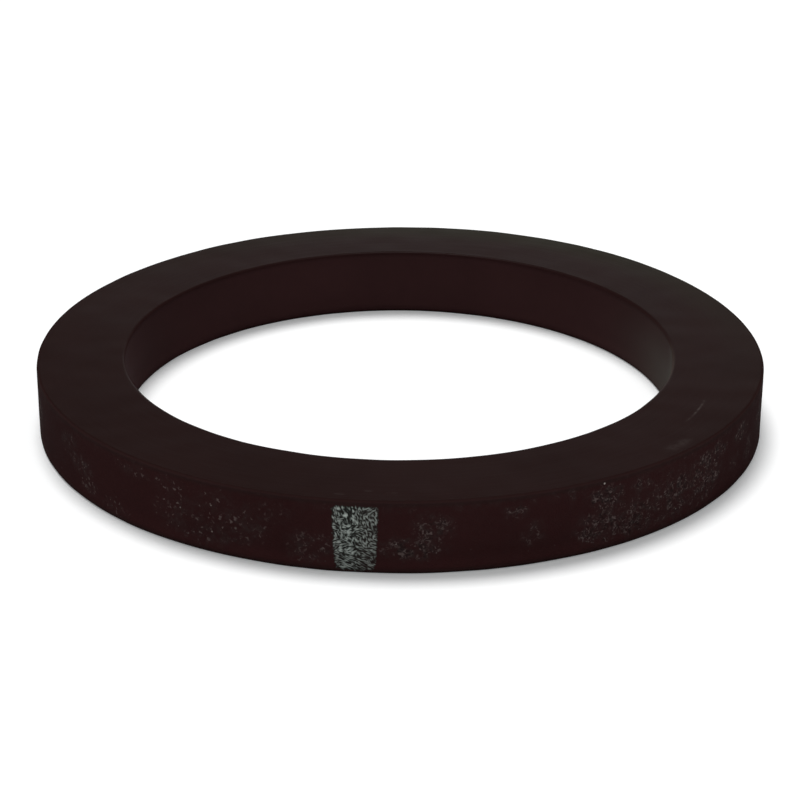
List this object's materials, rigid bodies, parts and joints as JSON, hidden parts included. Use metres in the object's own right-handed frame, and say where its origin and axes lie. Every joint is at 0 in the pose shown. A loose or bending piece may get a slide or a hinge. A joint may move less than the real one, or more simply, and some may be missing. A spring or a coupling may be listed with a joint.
{
  "type": "rubber gasket",
  "caption": "Flat rubber sealing ring with a rectangular section and softened edges, seated in the groove of a quick-release hose coupling.",
  "frame": {"origin": "centre of the face that the ring lies on, on the axis of the bore", "axes": "+Z along the axis of the bore, away from the face that the ring lies on; the ring is the same all round, and -Y is its front"},
  "size_m": [0.0666, 0.0666, 0.0063],
  "materials": {
    "black_rubber": "matt black rubber, smooth on the flat faces and in the bore, finely grained on the outer wall"
  },
  "bodies": {
    "root": {"gasket_ring": "black_rubber"}
  },
  "joints": []
}
